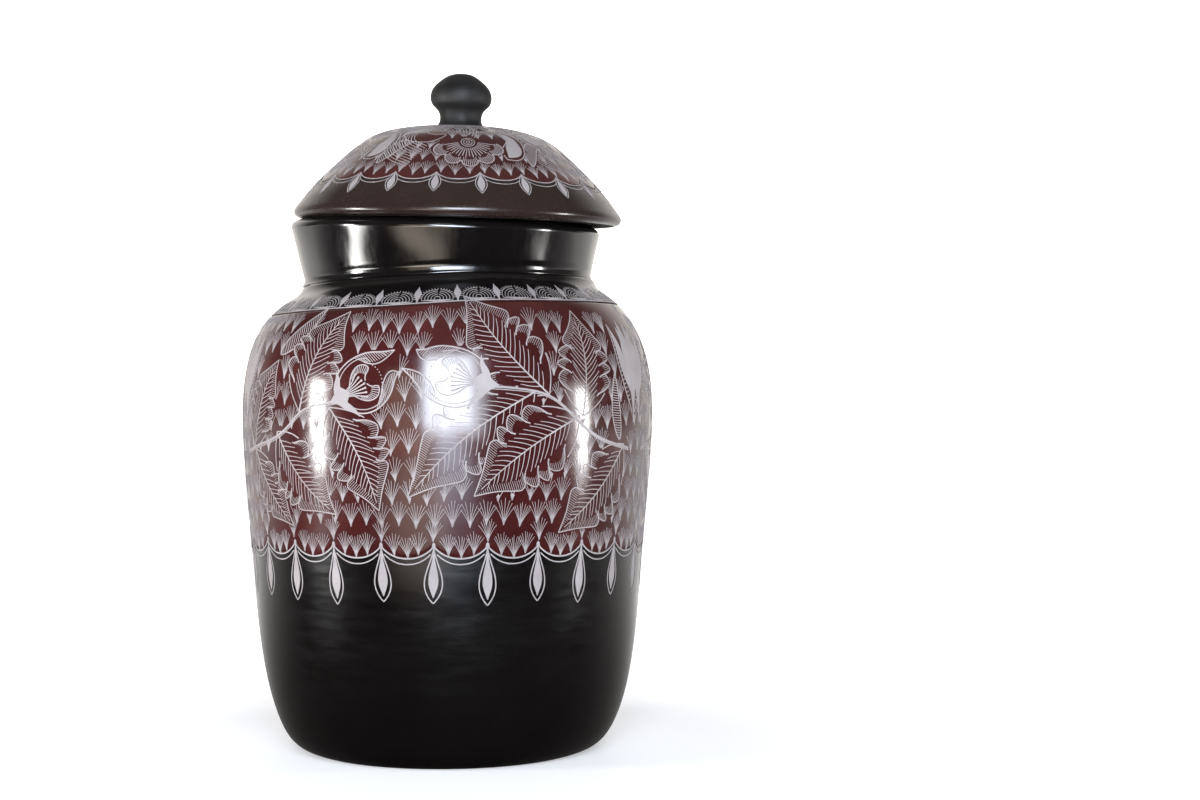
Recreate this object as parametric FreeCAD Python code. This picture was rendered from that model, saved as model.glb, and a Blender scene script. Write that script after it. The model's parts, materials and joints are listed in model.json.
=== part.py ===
import FreeCAD, Part
import os

# Hand-built lidded storage jar of burnished black clay, in millimetres.
# +Z is up and the origin is the centre of the underside of the floor.
# The jar stands on z = 0, +X is to its right and +Y is to its back.

# ---- driving dimensions -------------------------------------------------
MAX_RADIUS = 150.5            # widest part of the belly
WALL = 8.0                    # thickness of the jar's wall
FLOOR_RADIUS = 95.0           # edge of the floor disc
FLOOR_THICKNESS = 9.0
FOOT_RADIUS = 98.0            # edge of the flat that the jar stands on
NECK_RADIUS = 105.6           # outside of the shoulder where the collar is luted on
JOINT_HEIGHT = 342.0          # the flat that the collar is luted on

LOWER_WALL_TOP = 125.0        # building stages of the wall
BELLY_WALL_TOP = 275.0

SLIP_THICKNESS = 0.5          # red slip laid over the black clay
SLIP_BOTTOM = 149.0           # edges of the coat on the belly and the shoulder
SLIP_TOP = 323.0

LIP_HEIGHT = 387.7            # crest of the lip, at the middle of the mouth
LIP_DEPTH = 14.0              # the lip coil, below the crest
LIP_SHIFT_X = -2.2            # the collar stands a little left of the belly
LIP_TILT_FRONT = 2.5          # degrees that the mouth dips to the front
LIP_TILT_RIGHT = 1.4          # degrees that it dips to the right

LID_SEAT_GAP = 0.3            # the lid's flat seat above the crest
LID_SHIFT_X = 7.0             # the loose lid sits right of the belly's middle
LID_RADIUS = 120.8
LID_RIM_HEIGHT = 11.0         # the rim coil, above the seat
LID_SLIP_BOTTOM = 27.5        # edge of the slip on the crown, above the seat

# ---- outlines: (radius, height) -----------------------------------------
BODY_OUTLINE = [
    (FOOT_RADIUS, 0.0),
    (108.0, 3.6),
    (115.5, 9.5),
    (122.8, 21.0),
    (128.7, 36.0),
    (134.6, 60.0),
    (139.8, 98.0),
    (143.9, 150.0),
    (148.3, 202.0),
    (MAX_RADIUS, 248.0),
    (147.5, 281.0),
    (141.0, 302.0),
    (131.0, 318.0),
    (118.0, 330.0),
    (108.3, 338.0),
    (NECK_RADIUS, JOINT_HEIGHT + 3.0),
]

# The collar and the lip are drawn below the crest of the lip, which is height 0.
COLLAR_OUTSIDE = [
    (105.7, -62.0),
    (105.7, -47.0),
    (107.3, -37.0),
    (110.1, -27.0),
    (112.3, -17.0),
    (114.0, -6.0),
]
LIP_CREST = [
    (114.0, -6.0),
    (112.6, -3.2),
    (109.0, -1.0),
    (105.2, 0.0),
    (102.3, -1.4),
    (101.2, -5.0),
]
COLLAR_INSIDE = [
    (101.2, -5.0),
    (100.6, -18.0),
    (98.6, -34.0),
    (97.7, -48.0),
    (97.7, -62.0),
]

# The lid and its knob are drawn above the lid's flat seat, which is height 0.
LID_EDGE = [
    (115.0, 0.0),
    (118.8, 1.3),
    (LID_RADIUS, 4.3),
    (119.7, 7.8),
]
LID_OUTSIDE = [
    (119.7, 7.8),
    (111.3, 18.8),
    (97.0, 34.0),
    (80.6, 49.3),
    (65.0, 60.8),
    (45.0, 67.2),
    (22.0, 70.0),
    (0.0, 70.6),
]
LID_INSIDE = [
    (0.0, 62.4),
    (22.0, 61.6),
    (44.0, 58.4),
    (60.0, 52.0),
    (76.0, 40.5),
    (91.0, 24.5),
    (98.0, 12.0),
    (101.0, 0.0),
]
KNOB_OUTSIDE = [
    (16.9, 66.0),
    (16.3, 71.5),
    (15.5, 76.5),
    (17.4, 82.5),
    (21.6, 87.0),
    (22.8, 92.0),
    (21.2, 98.0),
    (15.6, 104.0),
    (8.0, 108.6),
    (0.0, 109.8),
]


# ---- helpers ------------------------------------------------------------
def point(place):
    radius, height = place
    return FreeCAD.Vector(radius, 0, height)


def level(direction):
    """The tangent that makes a dome flat on its axis."""
    return FreeCAD.Vector(direction, 0, 0)


def smooth(outline, crown=0):
    """A smooth curve through an outline. crown is 1 where it starts on the axis, -1 where it ends there."""
    curve = Part.BSplineCurve()
    places = [point(p) for p in outline]
    if crown == 0:
        curve.interpolate(places)
        return curve
    ends = [curve_end(outline, 0), curve_end(outline, -1)]
    at_axis = 0 if crown > 0 else -1
    ends[at_axis] = level(crown * ends[at_axis].Length)
    curve.interpolate(Points=places, InitialTangent=ends[0], FinalTangent=ends[1])
    return curve


def curve_end(outline, end):
    """The direction of the free curve at one end."""
    free = Part.BSplineCurve()
    free.interpolate([point(p) for p in outline])
    at = free.FirstParameter if end == 0 else free.LastParameter
    return free.tangent(at)[0]


def moved_out(curve, outline, distance):
    """The outline's points moved along the curve's outward normal."""
    places = []
    for p in outline:
        along = curve.tangent(curve.parameter(point(p)))[0]
        places.append((p[0] + along.z * distance, p[1] - along.x * distance))
    return places


def line(a, b):
    return Part.LineSegment(point(a), point(b)).toShape()


def parameter_at(curve, height):
    """Where a rising curve reaches a height."""
    low, high = curve.FirstParameter, curve.LastParameter
    for _ in range(60):
        middle = (low + high) / 2
        if curve.value(middle).z < height:
            low = middle
        else:
            high = middle
    return low


def stretch(curve, bottom, top):
    """The edge of a rising curve between two heights, with its ends as (radius, height)."""
    start, end = parameter_at(curve, bottom), parameter_at(curve, top)
    ends = (curve.value(start).x, bottom), (curve.value(end).x, top)
    return curve.toShape(start, end), ends


def band(outside, inside, bottom, top):
    """The ring between two curves, with flat ends."""
    outer, (outer_low, outer_high) = stretch(outside, bottom, top)
    inner, (inner_low, inner_high) = stretch(inside, bottom, top)
    return turned([outer, line(outer_high, inner_high), inner, line(inner_low, outer_low)])


def turned(edges):
    """The solid that a closed outline sweeps about +Z."""
    face = Part.Face(Part.Wire(Part.__sortEdges__(edges)))
    return face.revolve(FreeCAD.Vector(0, 0, 0), FreeCAD.Vector(0, 0, 1), 360)


def layer(solid, bottom, top):
    """The part of a solid between two heights."""
    reach = 2 * MAX_RADIUS
    slab = Part.makeCylinder(reach, top - bottom, FreeCAD.Vector(0, 0, bottom))
    return solid.common(slab).Solids[0]


def on_the_lip(solid, shift_x, height):
    """Stands a solid on the mouth's tilted plane."""
    placed = solid.copy()
    pivot = FreeCAD.Vector(0, 0, 0)
    placed.rotate(pivot, FreeCAD.Vector(1, 0, 0), LIP_TILT_FRONT)
    placed.rotate(pivot, FreeCAD.Vector(0, 1, 0), LIP_TILT_RIGHT)
    placed.translate(FreeCAD.Vector(shift_x, 0, height))
    return placed


# ---- the jar ------------------------------------------------------------
def wall_curves():
    """The outside and the inside of the jar's wall, from the foot to the neck. The heel is thicker."""
    outside = smooth(BODY_OUTLINE)
    inner = moved_out(outside, BODY_OUTLINE, -WALL)
    heel = [(FLOOR_RADIUS, FLOOR_THICKNESS), (FLOOR_RADIUS + 12.5, FLOOR_THICKNESS + 5.5)]
    return outside, smooth(heel + inner[4:])


def base_slab():
    return Part.makeCylinder(FLOOR_RADIUS, FLOOR_THICKNESS)


def lower_wall(outside, inside):
    """The heel and lower wall, which close round the floor disc."""
    outer, (_, outer_high) = stretch(outside, 0.0, LOWER_WALL_TOP)
    inner, (_, inner_high) = stretch(inside, FLOOR_THICKNESS, LOWER_WALL_TOP)
    corner = (FLOOR_RADIUS, 0.0)
    return turned([
        outer,
        line(outer_high, inner_high),
        inner,
        line((FLOOR_RADIUS, FLOOR_THICKNESS), corner),
        line(corner, BODY_OUTLINE[0]),
    ])


def body_slip(outside):
    """The red coat, which starts on the wall's own surface."""
    coat = smooth(moved_out(outside, BODY_OUTLINE, SLIP_THICKNESS))
    return band(coat, outside, SLIP_BOTTOM, SLIP_TOP)


def collar_and_lip():
    """The flared collar, cut flat where it is luted on, and the lip coil above it."""
    full = turned([
        smooth(COLLAR_OUTSIDE).toShape(),
        smooth(LIP_CREST).toShape(),
        smooth(COLLAR_INSIDE).toShape(),
        line(COLLAR_INSIDE[-1], COLLAR_OUTSIDE[0]),
    ])
    lip = layer(full, -LIP_DEPTH, 1.0)
    strap = layer(full, COLLAR_OUTSIDE[0][1], -LIP_DEPTH)
    lip = on_the_lip(lip, LIP_SHIFT_X, LIP_HEIGHT)
    strap = on_the_lip(strap, LIP_SHIFT_X, LIP_HEIGHT)
    return layer(strap, JOINT_HEIGHT, LIP_HEIGHT + LIP_DEPTH), lip


# ---- the lid ------------------------------------------------------------
def lid_shell():
    return turned([
        line(LID_INSIDE[-1], LID_EDGE[0]),
        smooth(LID_EDGE).toShape(),
        smooth(LID_OUTSIDE, crown=-1).toShape(),
        line(LID_OUTSIDE[-1], LID_INSIDE[0]),
        smooth(LID_INSIDE, crown=1).toShape(),
    ])


def lid_coat():
    """The red coat on the crown, with the knob's foot still under it."""
    outside = smooth(LID_OUTSIDE, crown=-1)
    coat = moved_out(outside, LID_OUTSIDE, SLIP_THICKNESS)
    coat[-1] = (0.0, LID_OUTSIDE[-1][1] + SLIP_THICKNESS)
    full = turned([
        outside.toShape(),
        line(LID_OUTSIDE[-1], coat[-1]),
        smooth(coat, crown=-1).toShape(),
        line(coat[0], LID_OUTSIDE[0]),
    ])
    return layer(full, LID_SLIP_BOTTOM, coat[-1][1] + 1.0)


def knob_blank():
    foot = KNOB_OUTSIDE[0]
    return turned([
        smooth(KNOB_OUTSIDE, crown=-1).toShape(),
        line(KNOB_OUTSIDE[-1], (0.0, foot[1])),
        line((0.0, foot[1]), foot),
    ])


def lid_pieces():
    shell = lid_shell()
    knob = knob_blank().cut(shell)
    knob = max(knob.Solids, key=lambda s: s.CenterOfMass.z)
    coat = lid_coat().cut(knob).Solids[0]
    pieces = {
        "lid_rim": layer(shell, -1.0, LID_RIM_HEIGHT),
        "lid_dome": layer(shell, LID_RIM_HEIGHT, LID_OUTSIDE[-1][1] + 1.0),
        "lid_slip": coat,
        "lid_knob": knob,
    }
    height = LIP_HEIGHT + LID_SEAT_GAP
    return {name: on_the_lip(s, LID_SHIFT_X, height) for name, s in pieces.items()}


# ---- all pieces ---------------------------------------------------------
def jar_pieces():
    outside, inside = wall_curves()
    collar, lip = collar_and_lip()
    return {
        "base_slab": base_slab(),
        "lower_wall": lower_wall(outside, inside),
        "belly_wall": band(outside, inside, LOWER_WALL_TOP, BELLY_WALL_TOP),
        "shoulder_wall": band(outside, inside, BELLY_WALL_TOP, JOINT_HEIGHT),
        "body_slip": body_slip(outside),
        "neck_collar": collar,
        "collar_lip": lip,
    }


def main():
    os.makedirs("parts", exist_ok=True)
    pieces = {**jar_pieces(), **lid_pieces()}
    for name, shape in pieces.items():
        shape.exportStep(f"parts/{name}.step")
        box = shape.BoundBox
        print(
            f"{name}: {shape.ShapeType} valid={shape.isValid()} volume={shape.Volume / 1000:.1f} cm3"
            f" x {box.XMin:.1f}..{box.XMax:.1f} y {box.YMin:.1f}..{box.YMax:.1f}"
            f" z {box.ZMin:.1f}..{box.ZMax:.1f}"
        )


main()
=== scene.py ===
import json
import math
import random

import bmesh
import bpy
import numpy as np
from mathutils import Matrix, Vector

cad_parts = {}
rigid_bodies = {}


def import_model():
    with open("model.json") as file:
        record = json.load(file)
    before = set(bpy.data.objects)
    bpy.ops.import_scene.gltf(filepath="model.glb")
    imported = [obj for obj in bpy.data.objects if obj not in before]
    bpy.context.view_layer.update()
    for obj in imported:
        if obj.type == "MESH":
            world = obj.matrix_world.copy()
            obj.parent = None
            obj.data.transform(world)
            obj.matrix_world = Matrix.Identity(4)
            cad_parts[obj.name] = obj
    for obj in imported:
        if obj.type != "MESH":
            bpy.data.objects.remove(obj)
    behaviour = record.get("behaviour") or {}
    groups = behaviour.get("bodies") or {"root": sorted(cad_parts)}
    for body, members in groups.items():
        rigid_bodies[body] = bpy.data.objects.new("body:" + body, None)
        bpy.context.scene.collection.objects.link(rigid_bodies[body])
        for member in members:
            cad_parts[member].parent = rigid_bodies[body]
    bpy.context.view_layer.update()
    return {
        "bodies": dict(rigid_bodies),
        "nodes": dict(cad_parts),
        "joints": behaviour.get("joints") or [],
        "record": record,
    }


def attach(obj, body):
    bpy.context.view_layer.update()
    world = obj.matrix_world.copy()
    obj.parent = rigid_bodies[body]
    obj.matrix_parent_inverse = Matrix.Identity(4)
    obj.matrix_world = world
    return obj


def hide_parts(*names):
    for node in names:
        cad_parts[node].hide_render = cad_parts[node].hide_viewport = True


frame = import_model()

# A burnished black clay pot with a red slip band, engraved all round, and a loose domed lid.
# Shapes are worked out in millimetres, with +Z up and the front at -Y, and made in metres.

MM = 0.001
random.seed(7)

# ---- sizes: as in the CAD, but for the thickness of the slip ---------------
WALL = 8.0
FLOOR_RADIUS = 95.0
FLOOR_THICKNESS = 9.0
JOINT_HEIGHT = 342.0
JOINT_FADE = 296.0, 338.0      # heights over which the wall takes up the slant of the joint
SLIP_THICKNESS = 0.25         # half the CAD's
SLIP_KEEL = -0.25             # its hidden underside is this far inside the wall
LIP_HEIGHT = 387.7
MIDDLE_OF_LIP = 106.0         # radius
LIP_SHIFT_X = -2.2
LIP_TILT_FRONT = math.radians(2.5)
LIP_TILT_RIGHT = math.radians(1.4)
LID_SHIFT_X = 7.0
LID_SEAT_GAP = 0.3

BODY_OUTLINE = [
    (98.0, 0.0), (108.0, 3.6), (115.5, 9.5), (122.8, 21.0), (128.7, 36.0), (134.6, 60.0), (139.8, 98.0),
    (143.9, 150.0), (148.3, 202.0), (150.5, 248.0), (147.5, 281.0), (141.0, 302.0), (131.0, 318.0), (118.0, 330.0),
    (108.3, 338.0), (105.6, 345.0),
]
COLLAR_OUTSIDE = [(105.7, -62.0), (105.7, -47.0), (107.3, -37.0), (110.1, -27.0), (112.3, -17.0), (114.0, -6.0)]
LIP_CREST = [(114.0, -6.0), (112.6, -3.2), (109.0, -1.0), (105.2, 0.0), (102.3, -1.4), (101.2, -5.0)]
COLLAR_INSIDE = [(101.2, -5.0), (100.6, -18.0), (98.6, -34.0), (97.7, -48.0), (97.7, -62.0)]
LID_EDGE = [(115.0, 0.0), (118.8, 1.3), (120.8, 4.3), (119.7, 7.8)]
LID_OUTSIDE = [
    (119.7, 7.8), (111.3, 18.8), (97.0, 34.0), (80.6, 49.3), (65.0, 60.8), (45.0, 67.2), (22.0, 70.0), (0.0, 70.6),
]
LID_INSIDE = [
    (0.0, 62.4), (22.0, 61.6), (44.0, 58.4), (60.0, 52.0), (76.0, 40.5), (91.0, 24.5), (98.0, 12.0), (101.0, 0.0),
]
KNOB_OUTSIDE = [
    (16.9, 66.0), (16.3, 71.5), (15.5, 76.5), (17.4, 82.5), (21.6, 87.0), (22.8, 92.0), (21.2, 98.0),
    (15.6, 104.0), (8.0, 108.6), (0.0, 109.8),
]

# ---- the drawing on the pot -----------------------------------------------
BAND_RADIUS = 150.0           # a millimetre along the drawing is one at this radius
BAND_ROUND = 2 * math.pi * BAND_RADIUS
CUSP_HEIGHT = 158.5           # height of the points between the lower scallops
SCALLOPS = 25
SCALLOP_PITCH = BAND_ROUND / SCALLOPS
COLUMNS_PER_SCALLOP = 20
SCALLOP_DEPTH = 8.6
RING_HEIGHT = 322.5           # the line where the red slip ends on the shoulder
RING_SLOPE = 4.0              # it runs this much lower at the left than at the middle
ARCHES = 28
INK = 0.16                    # the engraving stands this far off the surface
KEEL = -0.3                   # and its underside is this far inside it


# ---- outlines -------------------------------------------------------------
def natural_cubic(knots, values, at):
    """A natural cubic spline through values at knots."""
    n = len(knots)
    step = np.diff(knots)
    lhs = np.eye(n)
    rhs = np.zeros(n)
    for i in range(1, n - 1):
        lhs[i, i - 1:i + 2] = step[i - 1], 2 * (step[i - 1] + step[i]), step[i]
        rhs[i] = 6 * ((values[i + 1] - values[i]) / step[i] - (values[i] - values[i - 1]) / step[i - 1])
    bend = np.linalg.solve(lhs, rhs)
    i = np.clip(np.searchsorted(knots, at) - 1, 0, n - 2)
    before, after, h = at - knots[i], knots[i + 1] - at, step[i]
    return (
        (bend[i] * after ** 3 + bend[i + 1] * before ** 3) / (6 * h)
        + (values[i] / h - bend[i] * h / 6) * after
        + (values[i + 1] / h - bend[i + 1] * h / 6) * before
    )


def arc_lengths(line):
    return np.concatenate([[0], np.cumsum(np.linalg.norm(np.diff(line, axis=0), axis=1))])


def splined(knots, places, at):
    return np.stack([natural_cubic(knots, column, at) for column in places.T], axis=1)


def resampled(along, line, at):
    return np.stack([np.interp(at, along, column) for column in line.T], axis=1)


def smooth(outline, spacing):
    """Points evenly spaced along a smooth curve through an outline."""
    places = np.array(outline, float)
    knots = arc_lengths(places)
    line = splined(knots, places, np.linspace(0, knots[-1], int(knots[-1] / 0.1) + 2))
    along = arc_lengths(line)
    return resampled(along, line, np.linspace(0, along[-1], max(3, int(round(along[-1] / spacing)) + 1)))


def normals(line):
    """Unit normals to the right of a line's direction, as (radius, height)."""
    along = np.gradient(line, axis=0)
    along /= np.linalg.norm(along, axis=1, keepdims=True)
    return np.stack([along[:, 1], -along[:, 0]], axis=1)


def smooth_step(value, start, end):
    share = np.clip((value - start) / (end - start), 0, 1)
    return share * share * (3 - 2 * share)


def along_outline(arc, arcs, line, normal):
    """Radius, height and outward direction at a distance along an outline."""
    return [np.interp(arc, arcs, column) for column in (*line.T, *normal.T)]


def around(theta, radius, height):
    """Points round the Z axis, at angles from the front."""
    return np.stack(np.broadcast_arrays(radius * np.sin(theta), -radius * np.cos(theta), height), axis=-1)


# ---- the pot's surface ----------------------------------------------------
BODY_LINE = smooth(BODY_OUTLINE, 0.5)
BODY_NORMAL = normals(BODY_LINE)
BODY_ARC = arc_lengths(BODY_LINE)
CUSP_ARC = float(np.interp(CUSP_HEIGHT, BODY_LINE[:, 1], BODY_ARC))
RING_Y = float(np.interp(RING_HEIGHT, BODY_LINE[:, 1], BODY_ARC)) - CUSP_ARC
JOINT_Y = float(np.interp(JOINT_HEIGHT, BODY_LINE[:, 1], BODY_ARC)) - CUSP_ARC


def hand_wobble(theta, height):
    """How far the hand-built wall strays from a true turned shape, in or out."""
    waves = (
        0.34 * np.sin(2 * theta + height / 120.0 + 0.6)
        + 0.26 * np.sin(3 * theta - height / 70.0 + 2.1)
        + 0.16 * np.sin(5 * theta + height / 46.0 - 1.0)
        + 0.09 * np.sin(9 * theta - height / 31.0)
    )
    return waves * smooth_step(height, 4.0, 45.0)


def joint_height(theta):
    """Height of the line where the collar meets the shoulder."""
    return (
        JOINT_HEIGHT + 0.3 + 3.1 * np.sin(theta) + 2.0 * np.cos(theta)
        + 0.5 * np.sin(3 * theta + 0.8) + 0.25 * np.sin(7 * theta)
    )


def body_place(theta, arc, lift):
    """Points on the pot, from angle, distance up the wall from the foot and height off the surface."""
    radius, height, out, up = along_outline(arc, BODY_ARC, BODY_LINE, BODY_NORMAL)
    radius = radius + lift * out + hand_wobble(theta, height)
    height = height + lift * up + (joint_height(theta) - JOINT_HEIGHT) * smooth_step(height, *JOINT_FADE)
    return around(theta, radius, height)


def on_band(x, y, lift):
    """Points on the pot, from the band's flat drawing."""
    return body_place(x / BAND_RADIUS, y + CUSP_ARC, lift)


def ring_y(x):
    """The drawn height of the shoulder line."""
    theta = x / BAND_RADIUS
    return RING_Y + RING_SLOPE * np.sin(theta) - 1.5 * np.cos(theta) + 0.4 * np.sin(4 * theta)


def hang(turns, roundness):
    """How far an edge hangs between its cusps, from 0 to 1, a whole number of turns being a cusp."""
    return (1 - np.abs(2 * (turns % 1.0) - 1) ** 2.2) ** roundness


def scallop_y(x, depth):
    """The drawn height of the lower edge, hanging between its cusps."""
    return -depth * hang(x / SCALLOP_PITCH, 0.85)


# ---- the lid's surface ----------------------------------------------------
LID_LINE = smooth(LID_OUTSIDE[::-1], 0.4)
LID_NORMAL = -normals(LID_LINE)
LID_ARC = arc_lengths(LID_LINE)
MOUTH_TURN = Matrix.Rotation(LIP_TILT_RIGHT, 4, "Y") @ Matrix.Rotation(LIP_TILT_FRONT, 4, "X")
COLLAR_MATRIX = np.array(Matrix.Translation((LIP_SHIFT_X, 0, LIP_HEIGHT)) @ MOUTH_TURN)
LID_MATRIX = np.array(Matrix.Translation((LID_SHIFT_X, 0, LIP_HEIGHT + LID_SEAT_GAP)) @ MOUTH_TURN)


def placed(points, matrix):
    return points @ matrix[:3, :3].T + matrix[:3, 3]


def lid_wobble(theta, radius):
    waves = 0.3 * np.sin(2 * theta + 1.2) + 0.22 * np.sin(3 * theta - 0.5) + 0.12 * np.sin(6 * theta + radius / 17.0)
    return waves * smooth_step(radius, 20.0, 70.0)


def lid_place(theta, arc, lift):
    """Points on the lid, from angle, distance down from its top and height off the surface."""
    radius, height, out, up = along_outline(arc, LID_ARC, LID_LINE, LID_NORMAL)
    lift = lift + lid_wobble(theta, radius)
    return placed(around(theta, radius + lift * out, height + lift * up), LID_MATRIX)


def on_lid(x, y, lift):
    """Points on the lid, from a flat drawing with its middle at the lid's top."""
    return lid_place(np.arctan2(x, -y), np.hypot(x, y), lift)


# ---- meshes ---------------------------------------------------------------
def make_object(name, points, faces, materials, second=slice(0), smooth_shaded=True):
    """A mesh object, its size given in millimetres; a slice of its faces has the second material."""
    mesh = bpy.data.meshes.new(name)
    mesh.from_pydata((np.asarray(points) * MM).tolist(), [], faces)
    for material in materials:
        mesh.materials.append(material)
    slots = np.zeros(len(faces), np.int32)
    slots[second] = 1
    mesh.polygons.foreach_set("material_index", slots)
    mesh.polygons.foreach_set("use_smooth", np.full(len(mesh.polygons), smooth_shaded))
    mesh.validate()
    solid = bmesh.new()
    solid.from_mesh(mesh)
    bmesh.ops.recalc_face_normals(solid, faces=solid.faces)
    solid.to_mesh(mesh)
    solid.free()
    made = bpy.data.objects.new(name, mesh)
    bpy.context.scene.collection.objects.link(made)
    return made


def lump(name, top, rows, bottom, materials, second=slice(0)):
    """A solid of rows of points that close round, with a single point before the first and after the last."""
    columns, last = len(rows[0]), len(rows)

    def at(row, column):
        return 1 + row * columns + column % columns

    faces = [(0, at(0, column + 1), at(0, column)) for column in range(columns)]
    faces += [
        (at(row, column), at(row, column + 1), at(row + 1, column + 1), at(row + 1, column))
        for row in range(last - 1)
        for column in range(columns)
    ]
    faces += [(at(last - 1, column), at(last - 1, column + 1), at(last, 0)) for column in range(columns)]
    return make_object(name, np.concatenate([top, *rows, bottom]), faces, materials, second)


def hollow(name, rows, materials, second=slice(0)):
    """A solid of rows of points that close round, the last row meeting the first."""
    columns = len(rows[0])
    faces = []
    for row in range(len(rows)):
        here, below = row * columns, (row + 1) % len(rows) * columns
        for column in range(columns):
            beside = (column + 1) % columns
            faces.append((here + column, here + beside, below + beside, below + column))
    return make_object(name, np.concatenate(rows), faces, materials, second)


def angles(count):
    return np.linspace(0, 2 * math.pi, count, endpoint=False)


# ---- the pot's own pieces ---------------------------------------------------
WALL_COLUMNS = 288
OUTER_STEP, INNER_STEP = 1.9, 2.6      # between rows of points on the wall
INSIDE_CORNER_ARC = 34.0      # where the inside of the wall turns into the floor
COLLAR_COLUMNS = LID_COLUMNS = 256
KNOB_COLUMNS = 96
FLOOR_COLUMNS, FLOOR_RINGS = 128, 40


def pot_wall(outer_finish, inner_finish):
    """The whole wall of the jar: burnished outside, finger-smoothed rings inside."""
    theta = angles(WALL_COLUMNS)
    rows = [body_place(theta, arc, 0.0) for arc in np.arange(0, CUSP_ARC + JOINT_Y + 0.1, OUTER_STEP)]
    rows[0][:, 2] = 0.0
    outside_rows = len(rows)
    for arc in np.arange(CUSP_ARC + JOINT_Y - 1.0, INSIDE_CORNER_ARC, -INNER_STEP):
        ridge = 0.35 * math.sin(arc / 2.3) + 0.3 * np.sin(arc / 5.1 + 2 * theta)
        rows.append(body_place(theta, arc, -WALL + ridge))
    foot = (108.0, 14.5), (101.0, 10.8), (FLOOR_RADIUS, FLOOR_THICKNESS), (FLOOR_RADIUS, 0.0)
    rows += [around(theta, radius, height) for radius, height in foot]
    inside = slice((outside_rows - 1) * WALL_COLUMNS, (len(rows) - 1) * WALL_COLUMNS)
    return hollow("pot_wall", rows, [outer_finish, inner_finish], inside)


def floor_disc(finish):
    """The floor, with the spiral left by smoothing it from the middle."""
    edge = FLOOR_RADIUS - 0.05
    theta = angles(FLOOR_COLUMNS)
    rows = []
    for ring in range(1, FLOOR_RINGS + 1):
        radius = edge * ring / FLOOR_RINGS
        ridge = 0.3 * np.sin(radius / 3.0 + theta) * smooth_step(radius, 4, 12) * smooth_step(-radius, -94, -86)
        rows.append(around(theta, radius, FLOOR_THICKNESS + ridge))
    under = (edge, 0.5), (FLOOR_RADIUS - 1.5, 0.0), (60.0, 0.0), (25.0, 0.0)
    rows += [around(theta, radius, height) for radius, height in under]
    return lump("floor_disc", [(0, 0, FLOOR_THICKNESS)], rows, [(0, 0, 0)], [finish])


def collar(outer_finish, inner_finish):
    """The flared collar and its lip, with a small ledge where it is luted on."""
    theta = angles(COLLAR_COLUMNS)
    lip_plane = (
        LIP_HEIGHT
        - np.sin(theta) * MIDDLE_OF_LIP * math.tan(LIP_TILT_RIGHT)
        - np.cos(theta) * MIDDLE_OF_LIP * math.tan(LIP_TILT_FRONT)
    )
    foot = joint_height(theta) - lip_plane
    inside = smooth(COLLAR_INSIDE[::-1], 1.0)
    in_r, in_z = inside[np.argsort(inside[:, 1])].T
    (foot_radius, _), (top_radius, top) = COLLAR_OUTSIDE[0], COLLAR_OUTSIDE[-1]
    inner_top = COLLAR_INSIDE[0][1]
    wave = 0.35 * np.sin(2 * theta + 0.4) + 0.25 * np.sin(4 * theta - 1.0) + 0.12 * np.sin(7 * theta)

    def ring(radius, height):
        flat = around(theta, radius, height)
        flat[:, 0] += 3.2 * np.clip(-(height + 4.0) / 40.0, 0.0, 1.0)
        return placed(flat, COLLAR_MATRIX)

    rows = [ring(101.5, foot + 1.2), ring(104.6, foot - 0.4)]
    for share in np.linspace(0, 1, 40) ** 1.25:
        height = foot + (top - foot) * share
        rise = height - foot
        lean = smooth_step(rise, 1.5, 9.0) * (rise - 3.5) / (top - foot - 3.5)
        radius = foot_radius + 0.2 + (top_radius - foot_radius - 0.2) * lean
        ledge = (1.6 - 0.9 * np.sin(theta + 0.2)) * np.exp(-rise / 1.5) - 0.5 * np.exp(-rise / 0.35)
        facets = 0.16 * np.sin(9 * theta + height / 9.0) + wave * smooth_step(share, 0.0, 0.3)
        rows.append(ring(radius + ledge + facets, height))
    rows += [ring(radius + wave, height) for radius, height in smooth(LIP_CREST, 0.9)[1:-1]]
    crest_rows = len(rows)
    for share in np.linspace(0, 1, 26):
        height = inner_top + (foot + 1.2 - inner_top) * share
        radius = np.interp(height, in_z, in_r)
        rows.append(ring(radius + wave * (1 - share) + 0.3 * np.sin(height / 2.1), height))
    return hollow("collar", rows, [outer_finish, inner_finish], slice(crest_rows * COLLAR_COLUMNS, None))


def coat(name, place, across, start, end, count, finish):
    """A coat of slip, thinner at its start and end: count rows from one edge to the other."""
    outer, inner = [], []
    for share in np.linspace(0, 1, count):
        along = start + (end - start) * share
        rows_in = min(share, 1 - share) * (count - 1)
        outer.append(place(across, along, SLIP_THICKNESS * (0.35 + 0.65 * min(1.0, rows_in / 2.0))))
        inner.append(place(across, along, SLIP_KEEL))
    return hollow(name, outer + inner[::-1], [finish])


def slip_band(finish):
    """The coat of red slip between the scalloped lower edge and the shoulder line."""
    x = np.linspace(0, BAND_ROUND, SCALLOPS * COLUMNS_PER_SCALLOP, endpoint=False)
    return coat("slip_band", on_band, x, scallop_y(x, SCALLOP_DEPTH), ring_y(x), 66, finish)


# ---- the lid ----------------------------------------------------------------
def on_lid_axis(radius, height):
    return placed(np.array([[radius, 0.0, height]]), LID_MATRIX)


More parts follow.
